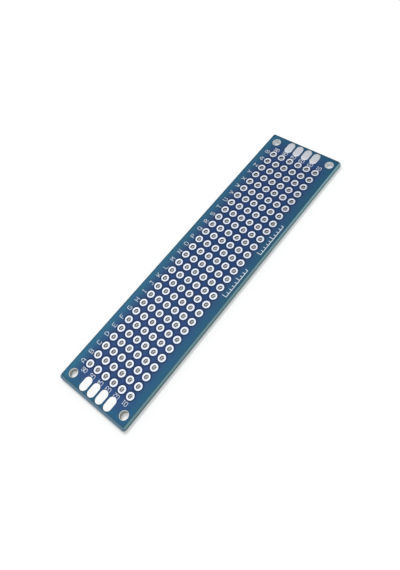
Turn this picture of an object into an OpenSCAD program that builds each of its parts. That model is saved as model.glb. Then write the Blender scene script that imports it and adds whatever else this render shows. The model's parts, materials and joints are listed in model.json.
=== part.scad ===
// Double-sided prototype board: a drilled glass-epoxy sheet with plated through-holes
// on a square grid, oval solder pads at both ends and a mounting hole in each corner.
// The origin is at the middle of the hole grid, on the underside, with the length along Y
// and the top up. The sheet reaches a little further to the left than to the right.

/* [Hole grid] */
// Distance between neighbouring holes, along and across the board
pitch = 2.54; // [2.4:0.01:3]
// Number of hole rows along the length
rows = 28; // [10:1:36]
// Number of holes in each row
columns = 6; // [4:1:7]

/* [Plated holes] */
// Finished diameter of a hole, inside its plating
hole_d = 1; // [0.7:0.05:1.2]
// Width of the tinned ring around a hole
ring_w = 0.45; // [0.3:0.05:0.5]
// Thickness of the plating on the wall of a hole
plating_t = 0.05; // [0.03:0.01:0.1]
// Thickness of copper and tin on the two faces
pad_t = 0.05; // [0.04:0.01:0.1]

/* [End pads] */
// Length of an oval pad, along the board
end_pad_l = 3.45; // [2.6:0.05:5]
// Clear width between neighbouring oval pads
end_pad_gap = 0.54; // [0.3:0.02:0.9]

/* [Margins] */
// Width of the face left of the rings, where row letters go
left_strip = 2.9; // [2.7:0.05:6]
// Width of the face right of the rings
right_strip = 2.47; // [2.3:0.01:6]
// Length left between the oval pads and the first rings, where column numbers go
number_strip = 1.11; // [0.5:0.01:3]
// Strip of mask between the near oval pads' openings and the near edge
near_strip = 0.1; // [0.04:0.01:1]
// Strip of mask between the far oval pads' openings and the far edge
far_strip = 0.21; // [0.04:0.01:1]

/* [Substrate] */
// Thickness of the bare glass-epoxy sheet
substrate_t = 1.5; // [1:0.1:2.4]
// Thickness of the web left between the upper and the lower score
web_t = 0.6; // [0.3:0.05:0.8]
// How far the scores lean out from the faces' edges to the web
score_lean = 0.28; // [0.05:0.01:0.4]
// How far the wider score at the near end leans out
near_lean = 0.54; // [0.05:0.01:0.6]
// Radius of the faces' worn corners
corner_r = 0.4; // [0.1:0.1:1]

/* [Mounting holes] */
// Diameter of a mounting hole
mount_d = 2; // [1.7:0.1:2.6]
// Distance from the outer columns to the mounting holes' centres, across the board
mount_out_x = 1.65; // [1.5:0.05:3]
// Distance from the outer rows to the mounting holes' centres, along the board
mount_out_y = 3.71; // [3:0.01:6]

/* [Solder mask] */
// Thickness of the mask
mask_t = 0.03; // [0.015:0.005:0.035]
// Gap between the mask and a pad
mask_gap = 0.05; // [0.02:0.01:0.1]
// Gap between the mask and the rim of a mounting hole
rim_gap = 0.16; // [0.05:0.01:0.3]

/* [Hidden] */
// Facets of a circle
$fn = 48;
// Facets of a rounded corner's full circle
corner_fn = 32;
// Extra length of a cutter past each face
past = 1;

ring_d = hole_d + 2 * ring_w;
drill_d = hole_d + 2 * plating_t;

end_pad_w = pitch - end_pad_gap;
end_pads = columns - 2;

// From the middle of the grid to the outer columns and rows, and to the oval pads' inner ends
grid_x = (columns - 1) / 2 * pitch;
grid_y = (rows - 1) / 2 * pitch;
end_pad_start = grid_y + ring_d / 2 + number_strip;

face_left = -grid_x - ring_d / 2 - left_strip;
face_right = grid_x + ring_d / 2 + right_strip;
face_near = -end_pad_start - end_pad_l - mask_gap - near_strip;
face_far = end_pad_start + end_pad_l + mask_gap + far_strip;
board_t = substrate_t + 2 * pad_t;
score_depth = (substrate_t - web_t) / 2;

// The two ends and the two faces, each by its name and the side of the middle it lies on
ENDS = [["near", -1], ["far", 1]];
FACES = [["bottom", -1], ["top", 1]];

function two_digits(n) = str(n < 10 ? "0" : "", n);
function row_node(row) = str("plated_holes_row_", two_digits(row));
function end_pad_node(end, face, n) = str("end_pad_", end[0], "_", face[0], "_", n);

function column_x(column) = (column - (columns + 1) / 2) * pitch;
function row_y(row) = (row - (rows + 1) / 2) * pitch;
function end_pad_x(n) = (n - (end_pads + 1) / 2) * pitch;
function end_pad_y(end) = end[1] * (end_pad_start + end_pad_l / 2);
function face_z(face, thickness) = face[1] < 0 ? pad_t - thickness : board_t - pad_t;

// Upright cutter that passes through both faces
module drill(diameter) {
    translate([0, 0, -past])
        cylinder(d = diameter, h = board_t + 2 * past);
}

// Puts its children at every hole of one row
module along_row(row) {
    for (column = [1 : columns])
        translate([column_x(column), row_y(row), 0])
            children();
}

// Puts its children at the four corner holes
module at_mounting_holes() {
    for (x_side = [-1, 1], y_side = [-1, 1])
        translate([x_side * (grid_x + mount_out_x), y_side * (grid_y + mount_out_y), 0])
            children();
}

// Puts its children at the centres of the four rounded corners, the near two moved out
module at_corners(near_out = 0) {
    for (x = [face_left + corner_r, face_right - corner_r])
        for (y = [face_near + corner_r - near_out, face_far - corner_r])
            translate([x, y, 0])
                children();
}

// Flat oval with round ends, lying along Y
module oval(width, length, thickness) {
    straight = length - width;
    translate([-width / 2, -straight / 2, 0])
        cube([width, straight, thickness]);
    for (side = [-1, 1])
        translate([0, side * straight / 2, 0])
            cylinder(d = width, h = thickness);
}

// Undrilled sheet: its web stands out from both faces, along V-scores
module scored_blank() {
    hull() {
        at_corners()
            cylinder(r = corner_r, h = substrate_t, $fn = corner_fn);
        translate([0, 0, score_depth])
            at_corners(near_lean - score_lean)
                cylinder(r = corner_r + score_lean, h = web_t, $fn = corner_fn);
    }
}

// Glass-epoxy sheet, snapped out of its panel along V-scores on all four sides
module substrate() {
    color("#a9bda2")
        difference() {
            translate([0, 0, pad_t])
                scored_blank();
            for (row = [1 : rows])
                along_row(row)
                    drill(drill_d);
            at_mounting_holes()
                drill(mount_d);
        }
}

// Lacquer film on one face, open around every pad and mounting hole
module solder_mask(face) {
    color("#2c5482")
        difference() {
            translate([0, 0, face_z(face, mask_t)])
                hull()
                    at_corners()
                        cylinder(r = corner_r, h = mask_t, $fn = corner_fn);
            for (row = [1 : rows])
                along_row(row)
                    drill(ring_d + 2 * mask_gap);
            for (end = ENDS, n = [1 : end_pads])
                translate([end_pad_x(n), end_pad_y(end), -past])
                    oval(end_pad_w + 2 * mask_gap, end_pad_l + 2 * mask_gap, board_t + 2 * past);
            at_mounting_holes()
                drill(mount_d + 2 * rim_gap);
        }
}

module solder_mask_top() {
    solder_mask(FACES[1]);
}

module solder_mask_bottom() {
    solder_mask(FACES[0]);
}

// Tinned copper lining of one hole: a barrel with a flat ring on each face
module plated_hole() {
    bore_r = hole_d / 2;
    barrel_r = drill_d / 2;
    ring_r = ring_d / 2;
    rotate_extrude()
        polygon([
            [bore_r, 0],
            [ring_r, 0],
            [ring_r, pad_t],
            [barrel_r, pad_t],
            [barrel_r, board_t - pad_t],
            [ring_r, board_t - pad_t],
            [ring_r, board_t],
            [bore_r, board_t],
        ]);
}

module plated_holes_row(row) {
    color("#d9dcdf")
        along_row(row)
            plated_hole();
}

// Tinned copper pad on one face, without a hole
module end_pad(end, face, n) {
    color("#d9dcdf")
        translate([end_pad_x(n), end_pad_y(end), face_z(face, pad_t)])
            oval(end_pad_w, end_pad_l, pad_t);
}

substrate();
solder_mask_top();
solder_mask_bottom();
for (row = [1 : rows])
    plated_holes_row(row);
for (end = ENDS, face = FACES, n = [1 : end_pads])
    end_pad(end, face, n);
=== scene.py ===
"""Prototype board: the finish of every surface, the printed legend, the light and the camera."""

import json
import math

import bpy
from mathutils import Matrix, Vector
from mathutils.geometry import delaunay_2d_cdt


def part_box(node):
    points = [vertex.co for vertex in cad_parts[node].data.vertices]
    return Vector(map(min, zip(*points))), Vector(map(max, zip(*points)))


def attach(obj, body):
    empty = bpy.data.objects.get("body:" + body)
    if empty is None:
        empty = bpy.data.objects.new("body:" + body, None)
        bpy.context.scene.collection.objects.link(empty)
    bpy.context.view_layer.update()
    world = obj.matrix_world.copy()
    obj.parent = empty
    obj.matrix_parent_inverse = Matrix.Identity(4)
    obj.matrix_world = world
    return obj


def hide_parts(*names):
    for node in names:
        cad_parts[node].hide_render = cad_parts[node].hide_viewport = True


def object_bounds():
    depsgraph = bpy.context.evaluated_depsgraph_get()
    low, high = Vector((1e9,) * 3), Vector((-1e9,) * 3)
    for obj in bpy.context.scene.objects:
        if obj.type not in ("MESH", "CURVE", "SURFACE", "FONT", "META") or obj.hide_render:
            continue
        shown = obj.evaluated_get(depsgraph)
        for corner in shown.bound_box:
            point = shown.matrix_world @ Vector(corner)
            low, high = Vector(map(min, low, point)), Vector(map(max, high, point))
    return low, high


bl_info = {
    "name": "Prototype Board",
    "version": (1, 0, 0),
    "blender": (4, 5, 0),
    "location": "View3D > Sidebar > Prototype Board",
    "description": "Dresses a drilled and plated prototype board, and sets up its studio",
    "category": "Object",
}

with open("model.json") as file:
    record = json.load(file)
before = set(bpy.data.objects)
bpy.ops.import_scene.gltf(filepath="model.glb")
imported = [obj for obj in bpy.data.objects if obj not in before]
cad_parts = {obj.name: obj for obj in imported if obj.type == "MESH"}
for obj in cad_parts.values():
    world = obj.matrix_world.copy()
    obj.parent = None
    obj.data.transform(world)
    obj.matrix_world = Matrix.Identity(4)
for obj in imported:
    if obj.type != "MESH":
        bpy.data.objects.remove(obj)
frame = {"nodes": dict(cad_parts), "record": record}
CAD_LOW, CAD_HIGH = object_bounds()

MM = 0.001
# Length after which a wave texture's bands repeat at scale 1
WAVE = math.tau / 20

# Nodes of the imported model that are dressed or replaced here
ROW_NODES = sorted(name for name in frame["nodes"] if name.startswith("plated_holes_row_"))
END_PAD_NODES = sorted(name for name in frame["nodes"] if name.startswith("end_pad_"))
MASK_NODES = ["solder_mask_bottom", "solder_mask_top"]
SHEET_NODE = "substrate"

# Sizes that the frame gives
SHEET_LOW, SHEET_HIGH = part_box(SHEET_NODE)
MIDDLE_Z = (SHEET_LOW.z + SHEET_HIGH.z) / 2
MASK_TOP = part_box("solder_mask_top")[1].z
FIRST_ROW_LOW, FIRST_ROW_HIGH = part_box(ROW_NODES[0])
LAST_ROW_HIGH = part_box(ROW_NODES[-1])[1]
RING_D = FIRST_ROW_HIGH.y - FIRST_ROW_LOW.y
PITCH = (LAST_ROW_HIGH.y - FIRST_ROW_HIGH.y) / (len(ROW_NODES) - 1)
COLUMNS = round((FIRST_ROW_HIGH.x - FIRST_ROW_LOW.x - RING_D) / PITCH) + 1
MOUNTS = {mount["name"]: mount["dims"] for mount in frame["record"]["mounts"]}
HOLE_R = MOUNTS["lead_hole_near_left"]["r_mm"] * MM
CORNERS = MOUNTS["corner_screws"]


def linear(code):
    """Turns an sRGB hex colour into the linear RGBA that Blender works in."""
    channels = [int(code[i : i + 2], 16) / 255 for i in (1, 3, 5)]
    return [c / 12.92 if c <= 0.04045 else ((c + 0.055) / 1.055) ** 2.4 for c in channels] + [1.0]


def length_property(name, description, millimetres):
    """A length that shows in the scene's units."""
    return bpy.props.FloatProperty(
        name=name, description=description, default=millimetres * MM, unit="LENGTH", precision=5
    )


def colour_property(name, description, code):
    """A colour that starts from an sRGB hex value."""
    return bpy.props.FloatVectorProperty(
        name=name, description=description, default=linear(code), size=4, subtype="COLOR"
    )


class PrototypeBoardSizes(bpy.types.PropertyGroup):
    """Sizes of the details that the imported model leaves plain."""

    plating_t: length_property("Plating", "Thickness of the plating on a hole's wall", 0.05)
    ridge_inset: length_property("Ridge", "From a ring's outer edge to the top of its bulge", 0.205)
    mouth_depth: length_property("Mouth", "How far down the tin rounds into a hole", 0.12)
    pad_shoulder: length_property("Pad shoulder", "Width of the rounded edge of an oval pad", 0.3)
    ink_t: length_property("Ink", "Thickness of the printed ink", 0.012)
    ink_stroke: length_property("Stroke", "Width of the strokes of letters and numbers", 0.1)
    scale_stroke: length_property("Scale stroke", "Width of the strokes of the scales", 0.15)
    opening_gap: length_property("Opening gap", "From an oval pad to the nearest ink", 0.08)
    letter_h: length_property("Letter height", "Height of a row's letter", 1.2)
    letter_offset: length_property("Letter offset", "From the first column to the row letters", 1.86)
    letter_pitch: length_property("Letter pitch", "From one row letter to the next", 2.552)
    letter_shift: length_property("Letter shift", "How far the letters sit before their rows", 0.19)
    number_h: length_property("Number height", "Height of a column's number", 1.0)
    number_near: length_property("Near numbers", "From the first row to its column numbers", 1.78)
    number_far: length_property("Far numbers", "From the last row to its column numbers", 1.52)
    scale_offset: length_property("Scale offset", "From the last column to a scale's base line", 2.65)
    tick: length_property("Tick", "Length of a short tick of a scale", 0.6)
    long_tick: length_property("Long tick", "Length of every fifth tick of a scale", 1.1)


class PrototypeBoardColours(bpy.types.PropertyGroup):
    """Colours of the board's finishes, as seen in plain light."""

    mask_left: colour_property("Mask at the left edge", "Lacquer along the board's left edge", "#26688A")
    mask_right: colour_property("Mask at the right edge", "Lacquer along the board's right edge", "#1C5B7E")
    mask_margin: colour_property("Mask in the margins", "Lacquer inside the edges", "#254F7D")
    mask_near: colour_property("Mask at the near end", "Lacquer between the nearest rings", "#25487F")
    mask_field: colour_property("Mask in the field", "Lacquer between the middle rings", "#08417D")
    mask_far: colour_property("Mask at the far end", "Lacquer between the farthest rings", "#20467F")
    mask_lip: colour_property("Mask at the scores", "Lip of lacquer where a score begins", "#1E556C")
    # Painted shade: the lacquer round each ring
    mask_ring_shade: colour_property("Mask by the rings", "Lacquer heaped against a ring", "#00204F")
    score: colour_property("Scored side", "Cut faces of the glass-epoxy along the sides", "#7DABB6")
    score_end: colour_property("Scored end", "Cut faces across the two ends", "#62869F")
    web: colour_property("Snapped web", "Torn glass and resin between the cuts", "#6C898A")
    drilled: colour_property("Drilled rim", "Crushed glass round the mouths of the corner holes", "#EEF8FC")
    wall: colour_property("Drilled wall", "Rough wall of the near corner holes", "#DAD8D1")
    # Painted light: the far holes' walls are painted lighter than the near ones
    far_wall_lit: colour_property("Far drilled wall", "Chalky wall of the far corner holes", "#FCFEFF")
    bare: colour_property("Bare face", "Uncoated face seen in the mask's gaps", "#0E2A48")
    tin: colour_property("Tin", "Bright tin on the oval pads", "#F0F1F2")
    # Painted reflection: the rings' tin is a little bluer, from the blue lacquer round them
    ring_tin_blue_reflection: colour_property("Ring tin", "Tin on the rings, thinner and a little bluer", "#E8EFFA")
    # Painted highlight: the pale tin at the middle of a hole's wall
    barrel: colour_property("Barrel", "Tin at the middle of a hole's wall", "#FCFBF6")
    # Painted shade: the dark tin just inside a hole's mouths
    mouth_shade: colour_property("Stain", "Flux stain on a hole's wall, just inside its mouths", "#5D5C56")
    ink: colour_property("Ink", "White printing ink", "#E9EFF4")
    floor: colour_property("Floor", "Studio floor", "#F7F7F7")
    floor_seen: colour_property("Floor as seen", "Paint's share in the floor that is seen", "#D2D2D2")


class PrototypeBoardStudio(bpy.types.PropertyGroup):
    """Light and camera."""

    azimuth: bpy.props.FloatProperty(
        name="Azimuth", description="Camera's turn round the board, from the near end",
        default=math.radians(55.77), subtype="ANGLE",
    )
    elevation: bpy.props.FloatProperty(
        name="Elevation", description="Camera's height above the floor, as an angle",
        default=math.radians(50.25), subtype="ANGLE",
    )
    roll: bpy.props.FloatProperty(
        name="Roll", description="Camera's turn about its own line of sight",
        default=math.radians(-20.31), subtype="ANGLE",
    )
    distance: length_property("Distance", "From the camera to the point it aims at", 160.12)
    aim: bpy.props.FloatVectorProperty(
        name="Aim", description="Point where the line of sight meets the board's upper plane",
        default=(-13.79 * MM, 12.98 * MM, CAD_HIGH.z), subtype="TRANSLATION",
    )
    lens: bpy.props.FloatProperty(
        name="Lens", description="Focal length of the camera", default=40.25, unit="CAMERA",
    )
    shift: bpy.props.FloatProperty(
        name="Shift", description="Vertical shift of the lens, as a share of the longer side",
        default=-0.1494, subtype="FACTOR",
    )
    sky: bpy.props.FloatProperty(
        name="Sky", description="Level of the even light from all round", default=0.5,
    )
    lamp: bpy.props.FloatProperty(
        name="Lamp", description="Strength of the soft lamp, in watts per square metre", default=1.72,
    )
    softness: bpy.props.FloatProperty(
        name="Softness", description="Width of the soft lamp as the board sees it",
        default=math.radians(21), subtype="ANGLE",
    )
    floor_glow: bpy.props.FloatProperty(
        name="Floor glow", description="What the camera sees added to the floor's own white",
        default=0.365, subtype="FACTOR",
    )


def add_node(tree, kind, settings=None, inputs=None):
    """Adds one node. An input is named or numbered, and takes a value, a socket, or a node's output."""
    node = tree.nodes.new(kind)
    for name, value in (settings or {}).items():
        setattr(node, name, value)
    for key, value in (inputs or {}).items():
        named = [s for s in node.inputs if s.enabled and s.name == key]
        socket = named[0] if named else node.inputs[key]
        if isinstance(value, bpy.types.Node):
            value = next(output for output in value.outputs if output.enabled)
        if isinstance(value, bpy.types.NodeSocket):
            tree.links.new(value, socket)
        else:
            socket.default_value = value
    return node


def new_material(name):
    """An empty node material, as its tree and its output node's surface input."""
    material = bpy.data.materials.new(name)
    material.use_nodes = True
    tree = material.node_tree
    tree.nodes.clear()
    output = add_node(tree, "ShaderNodeOutputMaterial")
    return material, tree, output.inputs["Surface"]


def board_axes(tree):
    """Object coordinates of the board, with x, y and z apart."""
    coordinates = add_node(tree, "ShaderNodeTexCoord").outputs["Object"]
    return coordinates, add_node(tree, "ShaderNodeSeparateXYZ", inputs={0: coordinates}).outputs


def from_middle(tree, axes):
    """Distance up or down from the middle of the sheet's thickness."""
    above = add_node(tree, "ShaderNodeMath", {"operation": "SUBTRACT"}, {0: axes["Z"], 1: MIDDLE_Z})
    return add_node(tree, "ShaderNodeMath", {"operation": "ABSOLUTE"}, {0: above})


def edge_distance(tree, axes):
    """Distance in from the masked face's nearest edge, rounded a little where two edges meet."""
    low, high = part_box(MASK_NODES[1])
    rounding = 1.5 * MM
    gaps = []
    for axis, start, end in (("X", low.x, high.x), ("Y", low.y, high.y)):
        centred = add_node(
            tree, "ShaderNodeMath", {"operation": "SUBTRACT"}, {0: axes[axis], 1: (start + end) / 2}
        )
        away = add_node(tree, "ShaderNodeMath", {"operation": "ABSOLUTE"}, {0: centred})
        gaps.append(
            add_node(tree, "ShaderNodeMath", {"operation": "SUBTRACT"}, {0: (end - start) / 2, 1: away})
        )
    return add_node(
        tree, "ShaderNodeMath", {"operation": "SMOOTH_MIN"}, {0: gaps[0], 1: gaps[1], 2: rounding}
    )


def ring_distance(tree, axes):
    """Distance from the axis of the nearest plated hole."""
    offsets = []
    for axis, count in (("X", COLUMNS), ("Y", len(ROW_NODES))):
        start = -(count - 1) / 2 * PITCH
        steps = add_node(
            tree, "ShaderNodeMapRange", {"clamp": True},
            {"Value": axes[axis], "From Min": start, "From Max": -start, "To Max": count - 1},
        )
        whole = add_node(tree, "ShaderNodeMath", {"operation": "ROUND"}, {0: steps})
        nearest = add_node(
            tree, "ShaderNodeMath", {"operation": "MULTIPLY_ADD"}, {0: whole, 1: PITCH, 2: start}
        )
        offsets.append(
            add_node(tree, "ShaderNodeMath", {"operation": "SUBTRACT"}, {0: axes[axis], 1: nearest})
        )
    across = add_node(tree, "ShaderNodeCombineXYZ", inputs={0: offsets[0], 1: offsets[1]})
    return add_node(tree, "ShaderNodeVectorMath", {"operation": "LENGTH"}, {0: across}).outputs["Value"]


def glass_epoxy(colours):
    """Glass-epoxy laminate, scored and snapped: smooth pale cuts above and below a torn, matt web."""
    material, tree, surface = new_material("glass_epoxy_scored_and_snapped")
    coordinates, axes = board_axes(tree)
    height = from_middle(tree, axes)

    # The web is the middle 0.6 mm of the thickness, and torn bundles of fibres fray its border
    bundle_d = 0.14 * MM
    fray = 0.08 * MM
    border_inner, border_outer = 0.31 * MM, 0.37 * MM
    fibres = add_node(
        tree, "ShaderNodeTexNoise", inputs={"Vector": coordinates, "Scale": 1 / bundle_d, "Detail": 3.0}
    )
    ragged = add_node(
        tree, "ShaderNodeMath", {"operation": "MULTIPLY_ADD"}, {0: fibres, 1: fray, 2: height}
    )
    web = add_node(
        tree, "ShaderNodeMapRange", {"interpolation_type": "SMOOTHSTEP"},
        {"Value": ragged, "From Min": border_inner, "From Max": border_outer,
         "To Min": 1.0, "To Max": 0.0},
    )

    # The cuts across the two ends are a little darker than those along the sides
    mask_low, mask_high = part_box(MASK_NODES[1])
    corner = 0.1 * MM
    at_far = add_node(
        tree, "ShaderNodeMath", {"operation": "GREATER_THAN"}, {0: axes["Y"], 1: mask_high.y - corner}
    )
    at_near = add_node(
        tree, "ShaderNodeMath", {"operation": "LESS_THAN"}, {0: axes["Y"], 1: mask_low.y + corner}
    )
    at_end = add_node(tree, "ShaderNodeMath", {"operation": "MAXIMUM"}, {0: at_far, 1: at_near})
    cut = add_node(
        tree, "ShaderNodeMix", {"data_type": "RGBA"},
        {"Factor": at_end, "A": colours.score, "B": colours.score_end},
    )

    # Painted shade and sheen: the cut faces are painted darker at the near end and lighter towards the far
    # end
    near_cut_shade, far_cut_sheen = 0.96, 1.3
    cut_shade_and_sheen = add_node(
        tree, "ShaderNodeMapRange",
        inputs={"Value": axes["Y"], "From Min": 0.0, "From Max": 34 * MM, "To Min": near_cut_shade, "To Max": far_cut_sheen},
    )
    shaded_and_sheened_cut = add_node(tree, "ShaderNodeVectorMath", {"operation": "SCALE"}, {0: cut, "Scale": cut_shade_and_sheen})

    # Painted shade: the long sides' torn web is painted darker towards the near end
    web_shade_level, web_shaded_to, web_unshaded_from = 0.7, -32 * MM, 5 * MM
    web_light = add_node(
        tree, "ShaderNodeMapRange",
        inputs={"Value": axes["Y"], "From Min": web_shaded_to, "From Max": web_unshaded_from,
                "To Min": web_shade_level, "To Max": 1.0},
    )
    web_lighting = add_node(tree, "ShaderNodeMath", {"operation": "MAXIMUM"}, {0: web_light, 1: at_end})
    torn = add_node(
        tree, "ShaderNodeVectorMath", {"operation": "SCALE"}, {0: colours.web[:3], "Scale": web_lighting}
    )
    edge = add_node(
        tree, "ShaderNodeMix", {"data_type": "RGBA"}, {"Factor": web, "A": shaded_and_sheened_cut, "B": torn}
    )

    # Seven plies of cloth show as faint lines along the edge
    ply_t = 0.21 * MM
    plies = add_node(
        tree, "ShaderNodeTexWave", {"wave_type": "BANDS", "bands_direction": "Z"},
        {"Vector": coordinates, "Scale": WAVE / ply_t, "Distortion": 1.5},
    )
    lined = add_node(
        tree, "ShaderNodeMix", {"data_type": "RGBA", "blend_type": "MULTIPLY"},
        {"Factor": 0.18, "A": edge, "B": plies.outputs["Color"]},
    )

    # Drilling crushes the glass round the corner holes to a whitish rim, a tenth of a millimetre wide
    gaps = []
    for axis, spacing in (("X", CORNERS["spacing_x_mm"]), ("Y", CORNERS["spacing_y_mm"])):
        away = add_node(tree, "ShaderNodeMath", {"operation": "ABSOLUTE"}, {0: axes[axis]})
        half = spacing / 2 * MM
        gaps.append(add_node(tree, "ShaderNodeMath", {"operation": "SUBTRACT"}, {0: away, 1: half}))
    across = add_node(tree, "ShaderNodeCombineXYZ", inputs={0: gaps[0], 1: gaps[1]})
    from_hole = add_node(tree, "ShaderNodeVectorMath", {"operation": "LENGTH"}, {0: across})
    crushed_to = (CORNERS["hole_r_mm"] + 0.02) * MM
    bare_from = (CORNERS["hole_r_mm"] + 0.13) * MM
    drilled = add_node(
        tree, "ShaderNodeMapRange", {"interpolation_type": "SMOOTHSTEP"},
        {"Value": from_hole.outputs["Value"], "From Min": crushed_to, "From Max": bare_from,
         "To Min": 1.0, "To Max": 0.0},
    )

    # The near holes' walls are rough, and painted darker lower down as painted shade.
    # The far holes' walls are painted lighter than the near ones, as painted light.
    face_up = SHEET_HIGH.z - MIDDLE_Z
    mouth_t, wall_in = 0.1 * MM, 0.45 * MM
    in_wall = add_node(
        tree, "ShaderNodeMapRange", {"interpolation_type": "SMOOTHSTEP"},
        {"Value": height, "From Min": face_up - wall_in, "From Max": face_up - mouth_t,
         "To Min": 1.0, "To Max": 0.0},
    )
    far_holes_lit = add_node(tree, "ShaderNodeMath", {"operation": "GREATER_THAN"}, {0: axes["Y"], 1: 0.0})
    wall_shade_level, shaded_to, unshaded_from = 0.68, 0.5 * MM, 1.2 * MM
    painted_wall_shade = add_node(
        tree, "ShaderNodeMapRange",
        inputs={"Value": axes["Z"], "From Min": shaded_to, "From Max": unshaded_from,
                "To Min": wall_shade_level, "To Max": 1.0},
    )
    shaded_near_wall = add_node(
        tree, "ShaderNodeVectorMath", {"operation": "SCALE"}, {0: colours.wall[:3], "Scale": painted_wall_shade}
    )
    drilled_wall = add_node(
        tree, "ShaderNodeMix", {"data_type": "RGBA"},
        {"Factor": far_holes_lit, "A": shaded_near_wall, "B": colours.far_wall_lit},
    )
    crushed = add_node(
        tree, "ShaderNodeMix", {"data_type": "RGBA"},
        {"Factor": in_wall, "A": colours.drilled, "B": drilled_wall},
    )

    # The bare face in the mask's gaps is dark, and begins just inside the edges
    face_in = 0.02 * MM
    inner = add_node(
        tree, "ShaderNodeMix", {"data_type": "RGBA"},
        {"Factor": drilled, "A": colours.bare, "B": crushed},
    )
    inside = add_node(
        tree, "ShaderNodeMath", {"operation": "GREATER_THAN"}, {0: edge_distance(tree, axes), 1: face_in}
    )
    colour = add_node(
        tree, "ShaderNodeMix", {"data_type": "RGBA"}, {"Factor": inside, "A": lined, "B": inner}
    )
    mottled = add_node(
        tree, "ShaderNodeMix", {"data_type": "RGBA", "blend_type": "MULTIPLY"},
        {"Factor": 0.25, "A": colour, "B": fibres.outputs["Color"]},
    )
    roughness = add_node(
        tree, "ShaderNodeMapRange", inputs={"Value": web, "To Min": 0.55, "To Max": 0.9}
    )
    bump = add_node(
        tree, "ShaderNodeBump", inputs={"Strength": 0.5, "Distance": 0.02 * MM, "Height": fibres}
    )
    shader = add_node(
        tree, "ShaderNodeBsdfPrincipled",
        inputs={"Base Color": mottled, "Roughness": roughness, "Normal": bump, "IOR": 1.55},
    )
    tree.links.new(shader.outputs[0], surface)
    return material


def solder_mask_lacquer(colours):
    """Cured lacquer film: semi-gloss, green towards the edges, deep blue, and painted darkest by the rings
    as painted shade.
    """
    material, tree, surface = new_material("solder_mask_lacquer")
    coordinates, axes = board_axes(tree)

    # Thin by the edges, most of all at the left, where the sheet's green shows through
    inwards = edge_distance(tree, axes)
    left_to, right_from = -9 * MM, -6.5 * MM
    rightwards = add_node(
        tree, "ShaderNodeMapRange", inputs={"Value": axes["X"], "From Min": left_to, "From Max": right_from}
    )
    rim = add_node(
        tree, "ShaderNodeMix", {"data_type": "RGBA"},
        {"Factor": rightwards, "A": colours.mask_left, "B": colours.mask_right},
    )
    rim_to, margin_at, field_from = 0.9 * MM, 2.6 * MM, 4.4 * MM
    past_rim = add_node(
        tree, "ShaderNodeMapRange", inputs={"Value": inwards, "From Min": rim_to, "From Max": margin_at}
    )
    margin = add_node(
        tree, "ShaderNodeMix", {"data_type": "RGBA"},
        {"Factor": past_rim, "A": rim, "B": colours.mask_margin},
    )
    past_margin = add_node(
        tree, "ShaderNodeMapRange", inputs={"Value": inwards, "From Min": margin_at, "From Max": field_from}
    )

    # Between the rings the coat is thinner at the two ends than at the middle
    field = colours.mask_near
    blends = ((-24 * MM, 5 * MM, colours.mask_field), (14 * MM, 32 * MM, colours.mask_far))
    for start, end, further in blends:
        along = add_node(
            tree, "ShaderNodeMapRange", {"interpolation_type": "SMOOTHSTEP"},
            {"Value": axes["Y"], "From Min": start, "From Max": end},
        )
        field = add_node(
            tree, "ShaderNodeMix", {"data_type": "RGBA"}, {"Factor": along, "A": field, "B": further}
        )
    colour = add_node(
        tree, "ShaderNodeMix", {"data_type": "RGBA"}, {"Factor": past_margin, "A": margin, "B": field}
    )

    # The film draws back into a thin lip at the scores, and is painted darker round the rings as painted
    # shade
    ring_r = RING_D / 2
    for distance, start, end, finish in (
        (inwards, 0.05 * MM, 0.4 * MM, colours.mask_lip),
        (ring_distance(tree, axes), ring_r + 0.05 * MM, ring_r + 0.55 * MM, colours.mask_ring_shade),
    ):
        close = add_node(
            tree, "ShaderNodeMapRange", {"interpolation_type": "SMOOTHSTEP"},
            {"Value": distance, "From Min": start, "From Max": end, "To Min": 1.0, "To Max": 0.0},
        )
        colour = add_node(
            tree, "ShaderNodeMix", {"data_type": "RGBA"}, {"Factor": close, "A": colour, "B": finish}
        )

    # Painted shade: the lacquer is painted slightly lighter at the near end and darker towards the far end
    thin, far_shade_level = 1.02, 0.82
    unshaded_to, far_shaded_from = -35 * MM, 20 * MM
    painted_falloff = add_node(
        tree, "ShaderNodeMapRange", {"interpolation_type": "SMOOTHSTEP"},
        {"Value": axes["Y"], "From Min": unshaded_to, "From Max": far_shaded_from,
         "To Min": thin, "To Max": far_shade_level},
    )
    falloff_shaded = add_node(tree, "ShaderNodeVectorMath", {"operation": "SCALE"}, {0: colour, "Scale": painted_falloff})

    # The printing screen leaves soft clouds
    cloud_d = 3 * MM
    clouds = add_node(
        tree, "ShaderNodeTexNoise", inputs={"Vector": coordinates, "Scale": 1 / cloud_d, "Detail": 2.0}
    )
    clouded = add_node(
        tree, "ShaderNodeMix", {"data_type": "RGBA", "blend_type": "MULTIPLY"},
        {"Factor": 0.2, "A": falloff_shaded, "B": clouds.outputs["Color"]},
    )

    # The cloth in the sheet prints through as a weave, which repeats after every second thread
    thread_w = 0.45 * MM
    weave = []
    for direction in ("X", "Y"):
        weave.append(
            add_node(
                tree, "ShaderNodeTexWave", {"wave_type": "BANDS", "bands_direction": direction},
                {"Vector": coordinates, "Scale": WAVE / (2 * thread_w), "Distortion": 0.6},
            )
        )
    cloth = add_node(
        tree, "ShaderNodeMath", {"operation": "MULTIPLY"},
        {0: weave[0].outputs["Fac"], 1: weave[1].outputs["Fac"]},
    )
    bump = add_node(
        tree, "ShaderNodeBump", inputs={"Strength": 0.25, "Distance": 0.004 * MM, "Height": cloth}
    )
    shader = add_node(
        tree, "ShaderNodeBsdfPrincipled",
        inputs={"Base Color": clouded, "Roughness": 0.34, "Specular IOR Level": 0.3, "Normal": bump},
    )
    tree.links.new(shader.outputs[0], surface)
    return material


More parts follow.
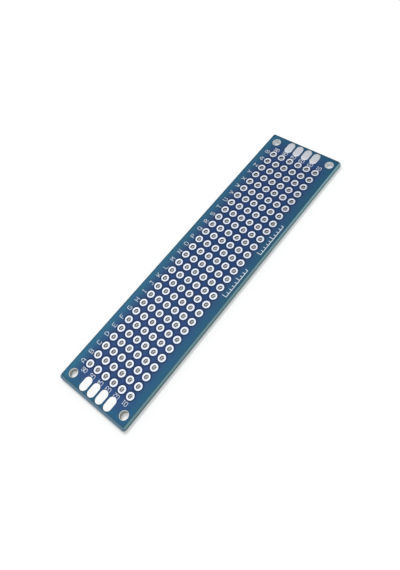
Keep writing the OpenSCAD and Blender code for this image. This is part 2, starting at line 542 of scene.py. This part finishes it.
def levelled_tin(colours):
    """Hot-air-levelled tin: bright and softly uneven on the faces, painted dark inside the holes' mouths as
    painted shade.
    """
    material, tree, surface = new_material("hot_air_levelled_tin")
    coordinates, axes = board_axes(tree)

    # Painted shade darkens the wall just inside both mouths, and a painted highlight leaves its middle pale
    height = from_middle(tree, axes)
    face_up = CAD_HIGH.z - MIDDLE_Z
    unshaded_in, shade_starts_in = 0.05 * MM, 0.19 * MM
    deep = add_node(
        tree, "ShaderNodeMapRange", {"interpolation_type": "SMOOTHSTEP"},
        {"Value": height, "From Min": face_up - shade_starts_in, "From Max": face_up - unshaded_in,
         "To Min": 1.0, "To Max": 0.0},
    )
    pale_to, mouth_shade_from = 0.18 * MM, 0.4 * MM
    central = add_node(
        tree, "ShaderNodeMapRange", {"interpolation_type": "SMOOTHSTEP"},
        {"Value": height, "From Min": pale_to, "From Max": mouth_shade_from, "To Min": 1.0, "To Max": 0.0},
    )
    wall = add_node(
        tree, "ShaderNodeMix", {"data_type": "RGBA"},
        {"Factor": central, "A": colours.mouth_shade, "B": colours.barrel},
    )

    # Painted shade: the far rows' hole walls are painted darker
    near_rows_to, far_rows_from, dimmed = 2 * MM, 22 * MM, 0.68
    far_row_shade = add_node(
        tree, "ShaderNodeMapRange",
        inputs={"Value": axes["Y"], "From Min": near_rows_to, "From Max": far_rows_from,
                "To Min": 1.0, "To Max": dimmed},
    )
    row_shaded_wall = add_node(tree, "ShaderNodeVectorMath", {"operation": "SCALE"}, {0: wall, "Scale": far_row_shade})

    # The rings' tin is painted a little bluer than the pads', as a painted reflection of the blue lacquer
    # round them
    past_ring = 0.51 * RING_D
    on_ring = add_node(
        tree, "ShaderNodeMath", {"operation": "LESS_THAN"}, {0: ring_distance(tree, axes), 1: past_ring}
    )
    face_tin = add_node(
        tree, "ShaderNodeMix", {"data_type": "RGBA"},
        {"Factor": on_ring, "A": colours.tin, "B": colours.ring_tin_blue_reflection},
    )
    colour = add_node(
        tree, "ShaderNodeMix", {"data_type": "RGBA"}, {"Factor": deep, "A": face_tin, "B": row_shaded_wall}
    )

    # The hot air leaves low lumps that catch the light unevenly, and it polishes the walls less
    lump_d = 0.6 * MM
    duller = 0.05
    lumps = add_node(
        tree, "ShaderNodeTexNoise", inputs={"Vector": coordinates, "Scale": 1 / lump_d, "Detail": 1.0}
    )
    polish = add_node(
        tree, "ShaderNodeMapRange", inputs={"Value": lumps, "To Min": 0.22, "To Max": 0.38}
    )
    roughness = add_node(
        tree, "ShaderNodeMath", {"operation": "MULTIPLY_ADD"}, {0: deep, 1: duller, 2: polish}
    )
    bump = add_node(
        tree, "ShaderNodeBump", inputs={"Strength": 0.3, "Distance": 0.01 * MM, "Height": lumps}
    )
    shader = add_node(
        tree, "ShaderNodeBsdfPrincipled",
        inputs={"Base Color": colour, "Metallic": 1.0, "Roughness": roughness, "Normal": bump},
    )
    tree.links.new(shader.outputs[0], surface)
    return material


def legend_ink(colours):
    """Screen-printed ink: white, matt and a little thin in places, so the blue shows faintly."""
    material, tree, surface = new_material("screen_printed_ink")
    coordinates = add_node(tree, "ShaderNodeTexCoord").outputs["Object"]

    # The screen's mesh leaves thin spots, through which up to a third of the blue shows
    spot_d = 0.15 * MM
    speckle = add_node(
        tree, "ShaderNodeTexNoise", inputs={"Vector": coordinates, "Scale": 1 / spot_d, "Detail": 2.0}
    )
    full_to, thin_from, thinnest = 0.45, 0.8, 0.3
    thin = add_node(
        tree, "ShaderNodeMapRange",
        inputs={"Value": speckle, "From Min": full_to, "From Max": thin_from, "To Max": thinnest},
    )
    colour = add_node(
        tree, "ShaderNodeMix", {"data_type": "RGBA"},
        {"Factor": thin, "A": colours.ink, "B": colours.mask_margin},
    )
    bump = add_node(
        tree, "ShaderNodeBump", inputs={"Strength": 0.3, "Distance": 0.004 * MM, "Height": speckle}
    )
    shader = add_node(
        tree, "ShaderNodeBsdfPrincipled", inputs={"Base Color": colour, "Roughness": 0.6, "Normal": bump}
    )
    tree.links.new(shader.outputs[0], surface)
    return material


# Materials made so far, by the name of their maker function
MADE = {}


def board_material(maker):
    """The material that a maker function gives, made once."""
    if maker.__name__ not in MADE:
        MADE[maker.__name__] = maker(bpy.context.scene.prototype_board_colours)
    return MADE[maker.__name__]


# Edges that turn by more than this stay sharp
SHARP_ANGLE = math.radians(40)


def add_piece(name, points, faces, material, replaced=(), smooth=False):
    """Makes a mesh that rides on the board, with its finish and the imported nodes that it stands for."""
    mesh = bpy.data.meshes.new(name)
    mesh.from_pydata(points, [], faces)
    mesh.materials.append(material)
    if smooth:
        mesh.shade_smooth()
        mesh.set_sharp_from_angle(angle=SHARP_ANGLE)
    piece = bpy.data.objects.new(name, mesh)
    bpy.context.scene.collection.objects.link(piece)
    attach(piece, "root")
    if replaced:
        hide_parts(*replaced)


# Facets of the tin's bulge, and how full it is: 2 is round, and more is fuller
BULGE_STEPS = 5
BULGE_POWER = 2.6


def bulge():
    """Quarter of a superellipse, from its top (0, 1) to its foot (1, 0): the way molten tin sets."""
    turns = [math.pi / 2 * step / BULGE_STEPS for step in range(BULGE_STEPS + 1)]
    return [(math.sin(t) ** (2 / BULGE_POWER), math.cos(t) ** (2 / BULGE_POWER)) for t in turns]


def plated_hole_section(sizes):
    """Half section of one plated hole as (radius, height), from the upper mouth round to the lower."""
    ring_r = RING_D / 2
    ridge_r = ring_r - sizes.ridge_inset
    mouth = [
        (ridge_r - out * (ridge_r - HOLE_R), CAD_HIGH.z - sizes.mouth_depth * (1 - up))
        for out, up in reversed(bulge())
    ]
    rim = [
        (ridge_r + out * (ring_r - ridge_r), SHEET_HIGH.z + up * (CAD_HIGH.z - SHEET_HIGH.z))
        for out, up in bulge()[1:]
    ]
    upper = mouth + rim + [(HOLE_R + sizes.plating_t, SHEET_HIGH.z)]
    turned_over = [(r, CAD_HIGH.z + CAD_LOW.z - z) for r, z in reversed(upper)]
    return upper + turned_over


# Facets round a plated hole
HOLE_SEGMENTS = 36


def add_plated_row(node, sizes, material):
    """One row of plated holes, each turned from its half section."""
    low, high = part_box(node)
    section = plated_hole_section(sizes)
    points, faces = [], []
    for column in range(COLUMNS):
        centre_x = low.x + RING_D / 2 + column * PITCH
        centre_y = (low.y + high.y) / 2
        first = len(points)
        for segment in range(HOLE_SEGMENTS):
            turn = math.tau * segment / HOLE_SEGMENTS
            for r, z in section:
                points.append((centre_x + r * math.cos(turn), centre_y + r * math.sin(turn), z))
        for segment in range(HOLE_SEGMENTS):
            here = first + segment * len(section)
            there = first + (segment + 1) % HOLE_SEGMENTS * len(section)
            for i in range(len(section)):
                j = (i + 1) % len(section)
                faces.append((here + i, here + j, there + j, there + i))
    name = node.replace("plated_holes", "tinned_holes")
    add_piece(name, points, faces, material, [node], smooth=True)


# Facets of each round end of an oval pad
OVAL_STEPS = 14


def oval(centre, width, length):
    """Outline of an oval with round ends along y, anticlockwise."""
    half_turn = [math.pi * step / OVAL_STEPS for step in range(OVAL_STEPS + 1)]
    radius = width / 2
    straight = (length - width) / 2
    return [
        (centre.x + radius * math.cos(start + t), centre.y + side * straight + radius * math.sin(start + t))
        for side, start in ((1, 0.0), (-1, math.pi))
        for t in half_turn
    ]


def add_end_pad(node, sizes, material):
    """One oval pad: a flat of tin with rounded shoulders, on the upper or the lower face."""
    low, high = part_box(node)
    centre = (low + high) / 2
    width, length = high.x - low.x, high.y - low.y
    foot, top = (low.z, high.z) if centre.z > MIDDLE_Z else (high.z, low.z)
    points, faces = [], []
    for out, up in reversed(bulge()):
        inset = 2 * sizes.pad_shoulder * (1 - out)
        outline = oval(centre, width - inset, length - inset)
        points += [(x, y, foot + up * (top - foot)) for x, y in outline]
    around = len(points) // (BULGE_STEPS + 1)
    for level in range(BULGE_STEPS):
        for i in range(around):
            j = (i + 1) % around
            here, above = level * around, (level + 1) * around
            faces.append((here + i, here + j, above + j, above + i))
    faces.append(tuple(range(BULGE_STEPS * around, len(points))))
    faces.append(tuple(reversed(range(around))))
    if top < foot:
        faces = [tuple(reversed(face)) for face in faces]
    name = node.replace("end_pad", "tinned_end_pad")
    add_piece(name, points, faces, material, [node], smooth=True)


# Pen strokes of each character on a grid 4 wide and 6 high: each mark is its x and y digits
STROKES = {
    "A": "00 04 26 44 40, 02 42",
    "B": "00 06 36 45 44 33 03, 33 42 41 30 00",
    "C": "45 36 16 05 01 10 30 41",
    "D": "00 06 26 44 42 20 00",
    "E": "46 06 00 40, 03 33",
    "F": "46 06 00, 03 33",
    "G": "45 36 16 05 01 10 30 41 43 23",
    "H": "00 06, 40 46, 03 43",
    "I": "10 30, 16 36, 20 26",
    "J": "16 46, 36 31 20 10 01",
    "K": "00 06, 46 02, 13 40",
    "L": "06 00 40",
    "M": "00 06 23 46 40",
    "N": "00 06 40 46",
    "O": "10 01 05 16 36 45 41 30 10",
    "P": "00 06 36 45 44 33 03",
    "Q": "10 01 05 16 36 45 41 30 10, 22 40",
    "R": "00 06 36 45 44 33 03, 23 40",
    "S": "45 36 16 05 04 13 33 42 41 30 10 01",
    "T": "06 46, 26 20",
    "U": "06 01 10 30 41 46",
    "V": "06 20 46",
    "W": "06 10 23 30 46",
    "X": "00 46, 06 40",
    "Y": "06 23 46, 23 20",
    "Z": "06 46 00 40",
    "0": "10 01 05 16 36 45 41 30 10",
    "1": "10 30, 20 26 15",
    "2": "05 16 36 45 44 00 40",
    "3": "05 16 36 45 44 33 23, 33 42 41 30 10 01",
    "4": "30 36 02 42",
    "5": "46 06 03 33 42 41 30 10 01",
    "6": "45 36 16 05 01 10 30 41 42 33 03",
}
GLYPH_W, GLYPH_H = 4, 6
# From one character's left side to the next one's, on the same grid
ADVANCE = 5


def written(text, centre, turn, height):
    """Pen strokes of a text as pairs of points: turn is the angle of its base line from x."""
    unit = height / GLYPH_H
    width = ADVANCE * (len(text) - 1) + GLYPH_W
    cosine, sine = math.cos(turn), math.sin(turn)

    def place(mark, start):
        across = (start + int(mark[0]) - width / 2) * unit
        up = (int(mark[1]) - GLYPH_H / 2) * unit
        return (centre[0] + across * cosine - up * sine, centre[1] + across * sine + up * cosine)

    strokes = []
    for index, character in enumerate(text):
        for line in STROKES[character].split(", "):
            marks = [place(mark, index * ADVANCE) for mark in line.split()]
            strokes += list(zip(marks, marks[1:]))
    return strokes


# Facets of a stroke's round end
CAP_STEPS = 4
# Points of the print that are nearer than this are one, in millimetres
WELD = 1e-4
# Makes the triangulation keep only what lies inside an outline
INSIDE_ONLY = 1


def capsule(stroke, radius):
    """Outline of one pen stroke: a bar with round ends, anticlockwise."""
    start, end = stroke
    along = math.atan2(end[1] - start[1], end[0] - start[0])
    turns = [math.pi * step / CAP_STEPS for step in range(CAP_STEPS + 1)]
    return [
        (x + radius * math.cos(along + side + t), y + radius * math.sin(along + side + t))
        for (x, y), side in ((start, math.pi / 2), (end, -math.pi / 2))
        for t in turns
    ]


def add_ink(name, strokes, width, sizes, openings=()):
    """Prints pen strokes on the upper mask as one closed film each, cut off at the given openings."""
    outlines = [capsule(stroke, width / 2) for stroke in strokes] + list(openings)
    corners = [Vector((x / MM, y / MM)) for outline in outlines for x, y in outline]
    loops, first = [], 0
    for outline in outlines:
        loops.append(list(range(first, first + len(outline))))
        first += len(outline)
    flat, _, triangles, _, _, sources = delaunay_2d_cdt(corners, [], loops, INSIDE_ONLY, WELD, True)
    # The openings come after the strokes, so a triangle in one of them has a higher source
    film = [
        triangle for triangle, source in zip(triangles, sources) if source and max(source) < len(strokes)
    ]
    used = sorted({corner for triangle in film for corner in triangle})
    upper = {corner: place for place, corner in enumerate(used)}
    lower = {corner: place + len(used) for place, corner in enumerate(used)}
    edges = {(a, b) for t in film for a, b in zip(t, list(t[1:]) + [t[0]])}
    faces = [tuple(upper[corner] for corner in t) for t in film]
    faces += [tuple(lower[corner] for corner in reversed(t)) for t in film]
    faces += [(lower[a], lower[b], upper[b], upper[a]) for a, b in sorted(edges) if (b, a) not in edges]
    points = [
        (flat[corner].x * MM, flat[corner].y * MM, z)
        for z in (MASK_TOP + sizes.ink_t, MASK_TOP)
        for corner in used
    ]
    add_piece(name, points, faces, board_material(legend_ink))


def sizes_of(context):
    """The sizes that a user may have changed."""
    return context.scene.prototype_board_sizes


class PROTOTYPEBOARD_OT_substrate(bpy.types.Operator):
    """Gives the glass-epoxy sheet its scored, snapped and drilled surfaces"""

    bl_idname = "prototype_board.substrate"
    bl_label = "Glass-Epoxy Sheet"

    def execute(self, context):
        frame["nodes"][SHEET_NODE].data.materials[0] = board_material(glass_epoxy)
        return {"FINISHED"}


class PROTOTYPEBOARD_OT_solder_mask(bpy.types.Operator):
    """Gives the lacquer film on both faces its colour and gloss"""

    bl_idname = "prototype_board.solder_mask"
    bl_label = "Solder Mask"

    def execute(self, context):
        for node in MASK_NODES:
            frame["nodes"][node].data.materials[0] = board_material(solder_mask_lacquer)
        return {"FINISHED"}


class PROTOTYPEBOARD_OT_plated_holes(bpy.types.Operator):
    """Makes the tinned rings and barrels of all rows"""

    bl_idname = "prototype_board.plated_holes"
    bl_label = "Plated Holes"

    def execute(self, context):
        for node in ROW_NODES:
            add_plated_row(node, sizes_of(context), board_material(levelled_tin))
        return {"FINISHED"}


class PROTOTYPEBOARD_OT_end_pads(bpy.types.Operator):
    """Makes the oval pads at both ends of both faces"""

    bl_idname = "prototype_board.end_pads"
    bl_label = "End Pads"

    def execute(self, context):
        for node in END_PAD_NODES:
            add_end_pad(node, sizes_of(context), board_material(levelled_tin))
        return {"FINISHED"}


def row_centre_y(row):
    """Where a row's holes lie along the board, counted from the near end."""
    return (row - (len(ROW_NODES) - 1) / 2) * PITCH


def column_centre_x(column):
    """Where a column's holes lie across the board, counted from the left."""
    return (column - (COLUMNS - 1) / 2) * PITCH


class PROTOTYPEBOARD_OT_row_letters(bpy.types.Operator):
    """Prints a letter beside each row, from A to Z and on from A again"""

    bl_idname = "prototype_board.row_letters"
    bl_label = "Row Letters"

    def execute(self, context):
        sizes = sizes_of(context)
        letters = "ABCDEFGHIJKLMNOPQRSTUVWXYZ"
        x = column_centre_x(0) - sizes.letter_offset
        strokes = []
        for row in range(len(ROW_NODES)):
            steps = row - (len(ROW_NODES) - 1) / 2
            centre = (x, steps * sizes.letter_pitch - sizes.letter_shift)
            letter = letters[row % len(letters)]
            strokes += written(letter, centre, math.pi / 2, sizes.letter_h - sizes.ink_stroke)
        add_ink("row_letters", strokes, sizes.ink_stroke, sizes)
        return {"FINISHED"}


class PROTOTYPEBOARD_OT_column_numbers(bpy.types.Operator):
    """Prints the number of each column at both ends, cut off where it meets an oval pad"""

    bl_idname = "prototype_board.column_numbers"
    bl_label = "Column Numbers"

    def execute(self, context):
        sizes = sizes_of(context)
        openings = []
        for node in END_PAD_NODES:
            low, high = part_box(node)
            if high.z > MASK_TOP:
                grown = 2 * sizes.opening_gap
                openings.append(oval((low + high) / 2, high.x - low.x + grown, high.y - low.y + grown))
        near_y = row_centre_y(0) - sizes.number_near
        far_y = row_centre_y(len(ROW_NODES) - 1) + sizes.number_far
        strokes = []
        for column in range(COLUMNS):
            number = f"{COLUMNS - column:02d}"
            for y in (near_y, far_y):
                centre = (column_centre_x(column), y)
                strokes += written(number, centre, math.pi, sizes.number_h - sizes.ink_stroke)
        add_ink("column_numbers", strokes, sizes.ink_stroke, sizes, openings)
        return {"FINISHED"}


# Start and length of each scale along the board, in millimetres
SCALES = ((-5, 8), (8, 9))
LONG_TICK_EVERY = 5


class PROTOTYPEBOARD_OT_margin_scales(bpy.types.Operator):
    """Prints two plain millimetre scales in the wide margin"""

    bl_idname = "prototype_board.margin_scales"
    bl_label = "Margin Scales"

    def execute(self, context):
        sizes = sizes_of(context)
        x = column_centre_x(COLUMNS - 1) + sizes.scale_offset
        strokes = []
        for start, length in SCALES:
            strokes.append(((x, start * MM), (x, (start + length) * MM)))
            for step in range(length + 1):
                reach = sizes.long_tick if step % LONG_TICK_EVERY == 0 else sizes.tick
                y = (start + step) * MM
                strokes.append(((x, y), (x - reach, y)))
        add_ink("margin_scales", strokes, sizes.scale_stroke, sizes)
        return {"FINISHED"}


# Side of the square floor, and how far it lies below the board so that their faces stay apart
FLOOR_SIDE = 4.0
FLOOR_GAP = 0.01 * MM
WHITE = (1.0, 1.0, 1.0, 1.0)


def studio_floor(colours, glow):
    """Matt white paint. Part of the white that is seen is a glow, so that the shadow stays soft."""
    material, tree, surface = new_material("matt_painted_floor")
    rays = add_node(tree, "ShaderNodeLightPath").outputs
    seen = rays["Is Camera Ray"]
    for ray in ("Is Glossy Ray", "Is Transmission Ray"):
        seen = add_node(tree, "ShaderNodeMath", {"operation": "MAXIMUM"}, {0: seen, 1: rays[ray]})
    strength = add_node(tree, "ShaderNodeMath", {"operation": "MULTIPLY"}, {0: seen, 1: glow})
    white = add_node(
        tree, "ShaderNodeMix", {"data_type": "RGBA"},
        {"Factor": seen, "A": colours.floor, "B": colours.floor_seen},
    )
    paint = add_node(tree, "ShaderNodeBsdfDiffuse", inputs={"Color": white})
    light = add_node(tree, "ShaderNodeEmission", inputs={"Strength": strength})
    both = add_node(tree, "ShaderNodeAddShader", inputs={0: paint, 1: light})
    tree.links.new(both.outputs[0], surface)
    return material


# The soft box from the middle of the sky to its far end: how far along, then red, green and blue
SOFT_BOX = (
    (0.0, 0.97, 0.98, 0.98),
    (0.06, 1.05, 1.035, 0.975),
    (0.12, 1.09, 1.07, 1.02),
    (0.3, 1.1, 1.11, 1.09),
    (0.56, 1.07, 1.15, 1.21),
    (0.7, 0.87, 0.9, 1.05),
    (0.79, 0.46, 0.47, 0.55),
    (0.86, 0.59, 0.535, 0.46),
    (1.0, 0.22, 0.26, 0.32),
)
# A direction's far part where the soft box ends, and the box's strength
SOFT_BOX_REACH = 0.6
SOFT_BOX_LEVEL = 1.1


def studio_sky(level):
    """White where it is seen, even light on surfaces, and for gloss a soft box that fades to far."""
    world = bpy.data.worlds.new("studio_sky")
    world.use_nodes = True
    tree = world.node_tree
    tree.nodes.clear()
    output = add_node(tree, "ShaderNodeOutputWorld")
    rays = add_node(tree, "ShaderNodeLightPath").outputs
    direction = add_node(tree, "ShaderNodeTexCoord").outputs["Generated"]
    axes = add_node(tree, "ShaderNodeSeparateXYZ", inputs={0: direction}).outputs
    farness = add_node(
        tree, "ShaderNodeMapRange", inputs={"Value": axes["Y"], "From Max": SOFT_BOX_REACH}
    )
    fade = add_node(tree, "ShaderNodeValToRGB", inputs={0: farness})
    stops = fade.color_ramp.elements
    stops.remove(stops[1])
    for index, (position, red, green, blue) in enumerate(SOFT_BOX):
        stop = stops.new(position) if index else stops[0]
        stop.color = (red, green, blue, 1.0)
    even = add_node(tree, "ShaderNodeBackground", inputs={"Color": WHITE, "Strength": level})
    box = add_node(tree, "ShaderNodeBackground", inputs={"Color": fade, "Strength": SOFT_BOX_LEVEL})
    white = add_node(tree, "ShaderNodeBackground", inputs={"Color": WHITE})
    glossy = add_node(
        tree, "ShaderNodeMath", {"operation": "MAXIMUM"},
        {0: rays["Is Glossy Ray"], 1: rays["Is Transmission Ray"]},
    )
    lit = add_node(tree, "ShaderNodeMixShader", inputs={0: glossy, 1: even, 2: box})
    shown = add_node(tree, "ShaderNodeMixShader", inputs={0: rays["Is Camera Ray"], 1: lit, 2: white})
    tree.links.new(shown.outputs[0], output.inputs["Surface"])
    return world


# From the board to the soft lamp
TO_LAMP = Vector((-0.22, 0.15, 0.66))


class PROTOTYPEBOARD_OT_studio(bpy.types.Operator):
    """Lays the floor, lights the board and sets up the camera"""

    bl_idname = "prototype_board.studio"
    bl_label = "Studio"

    def execute(self, context):
        scene = context.scene
        studio = scene.prototype_board_studio
        colours = scene.prototype_board_colours
        scene.view_settings.view_transform = "Standard"
        scene.world = studio_sky(studio.sky)

        half = FLOOR_SIDE / 2
        z = CAD_LOW.z - FLOOR_GAP
        corners = [(-half, -half, z), (half, -half, z), (half, half, z), (-half, half, z)]
        mesh = bpy.data.meshes.new("studio_floor")
        mesh.from_pydata(corners, [], [(0, 1, 2, 3)])
        mesh.materials.append(studio_floor(colours, studio.floor_glow))
        floor = bpy.data.objects.new("studio_floor", mesh)
        scene.collection.objects.link(floor)

        lamp = bpy.data.lights.new("soft_lamp", "SUN")
        lamp.energy = studio.lamp
        lamp.angle = studio.softness
        lamp_object = bpy.data.objects.new("soft_lamp", lamp)
        lamp_object.location = TO_LAMP
        lamp_object.rotation_euler = TO_LAMP.to_track_quat("Z", "Y").to_euler()
        lamp_object.visible_glossy = False
        scene.collection.objects.link(lamp_object)

        lens = bpy.data.cameras.new("camera")
        lens.lens = studio.lens
        lens.shift_y = studio.shift
        lens.clip_start = 10 * MM
        camera = bpy.data.objects.new("camera", lens)
        back = Vector((
            math.sin(studio.azimuth) * math.cos(studio.elevation),
            -math.cos(studio.azimuth) * math.cos(studio.elevation),
            math.sin(studio.elevation),
        ))
        level = Vector((math.cos(studio.azimuth), math.sin(studio.azimuth), 0.0))
        upright = back.cross(level)
        right = level * math.cos(studio.roll) + upright * math.sin(studio.roll)
        up = back.cross(right)
        turn = Matrix((right, up, back)).transposed().to_4x4()
        camera.matrix_world = Matrix.Translation(Vector(studio.aim) + back * studio.distance) @ turn
        scene.collection.objects.link(camera)
        scene.camera = camera
        return {"FINISHED"}


class PROTOTYPEBOARD_PT_panel(bpy.types.Panel):
    """Steps that dress the board, with their sizes and colours"""

    bl_idname = "PROTOTYPEBOARD_PT_panel"
    bl_label = "Prototype Board"
    bl_space_type = "VIEW_3D"
    bl_region_type = "UI"
    bl_category = "Prototype Board"

    def draw(self, context):
        for operator in OPERATORS:
            self.layout.operator(operator.bl_idname)
        for name in PROPERTY_GROUPS:
            box = self.layout.box()
            group = getattr(context.scene, name)
            for field in group.bl_rna.properties:
                if field.identifier not in ("rna_type", "name"):
                    box.prop(group, field.identifier)


PROPERTY_GROUPS = {
    "prototype_board_sizes": PrototypeBoardSizes,
    "prototype_board_colours": PrototypeBoardColours,
    "prototype_board_studio": PrototypeBoardStudio,
}
OPERATORS = [
    PROTOTYPEBOARD_OT_substrate,
    PROTOTYPEBOARD_OT_solder_mask,
    PROTOTYPEBOARD_OT_plated_holes,
    PROTOTYPEBOARD_OT_end_pads,
    PROTOTYPEBOARD_OT_row_letters,
    PROTOTYPEBOARD_OT_column_numbers,
    PROTOTYPEBOARD_OT_margin_scales,
    PROTOTYPEBOARD_OT_studio,
]


def register():
    for item in [*PROPERTY_GROUPS.values(), *OPERATORS, PROTOTYPEBOARD_PT_panel]:
        bpy.utils.register_class(item)
    for name, group in PROPERTY_GROUPS.items():
        setattr(bpy.types.Scene, name, bpy.props.PointerProperty(type=group))


def unregister():
    for name in PROPERTY_GROUPS:
        delattr(bpy.types.Scene, name)
    for item in [PROTOTYPEBOARD_PT_panel, *reversed(OPERATORS), *PROPERTY_GROUPS.values()]:
        bpy.utils.unregister_class(item)


def main():
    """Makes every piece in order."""
    register()
    bpy.ops.prototype_board.substrate()
    bpy.ops.prototype_board.solder_mask()
    bpy.ops.prototype_board.plated_holes()
    bpy.ops.prototype_board.end_pads()
    bpy.ops.prototype_board.row_letters()
    bpy.ops.prototype_board.column_numbers()
    bpy.ops.prototype_board.margin_scales()
    bpy.ops.prototype_board.studio()


if __name__ == "__main__":
    main()
